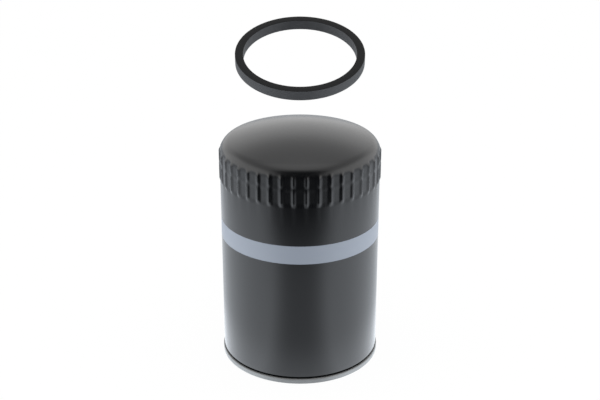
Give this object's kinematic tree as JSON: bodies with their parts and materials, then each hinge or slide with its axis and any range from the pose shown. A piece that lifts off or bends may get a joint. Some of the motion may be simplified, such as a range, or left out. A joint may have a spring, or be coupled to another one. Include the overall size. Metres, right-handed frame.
{
  "type": "spin-on oil filter",
  "caption": "Spin-on oil filter: domed black steel can with wrench flutes, rolled rim, threaded base plate, pleated element, valves and a loose sealing ring.",
  "frame": {"origin": "on the can's axis, in the plane of the rolled rim that the filter stands on", "axes": "+Z along the can's axis, from the rim towards the dome; +X to the right of the side that the loose ring leans towards, and that side is -Y"},
  "size_m": [0.0943, 0.0944, 0.1988],
  "materials": {
    "black_paint": "satin",
    "bare_steel": "satin",
    "plate_steel": "oiled",
    "tinned_steel": "satin",
    "spring_steel": "satin",
    "sealing_compound": "matte",
    "gasket_rubber": "matte",
    "valve_rubber": "matte",
    "adhesive": "matte",
    "filter_paper": "matte"
  },
  "bodies": {
    "filter": {"canister": "black_paint", "seaming_lid": "bare_steel", "base_plate": "plate_steel", "seam_sealant": "sealing_compound", "lower_end_cap": "tinned_steel", "lower_adhesive": "adhesive", "pleated_media": "filter_paper", "media_seam_clip": "tinned_steel", "centre_tube": "tinned_steel", "upper_adhesive": "adhesive", "upper_end_cap": "tinned_steel", "bypass_valve_seat": "tinned_steel", "bypass_valve_cage": "tinned_steel", "bypass_spring": "spring_steel", "element_spring": "spring_steel"},
    "bypass_poppet": {"bypass_valve_seal": "valve_rubber", "bypass_valve_disc": "tinned_steel", "bypass_valve_stem": "plate_steel"},
    "anti_drain": {"anti_drain_valve": "valve_rubber"},
    "gasket": {"sealing_gasket": "gasket_rubber"}
  },
  "joints": [
    {"name": "bypass_opening", "type": "slide", "parent": "filter", "child": "bypass_poppet", "axis": [0, 0, -1], "range_m": [0, 0.003], "stiffness_N_per_m": 2500, "springref_m": -0.008, "deforming": ["bypass_spring"]},
    {"name": "anti_drain_lift", "type": "slide", "parent": "filter", "child": "anti_drain", "axis": [0, 0, 1], "range_m": [0, 0.0012], "stiffness_N_per_m": 200, "springref_m": -0.002},
    {"name": "gasket_slide", "type": "slide", "parent": "filter", "child": "gasket", "axis": [0, 0, 1], "range_m": [-0.03, 0.02]}
  ]
}
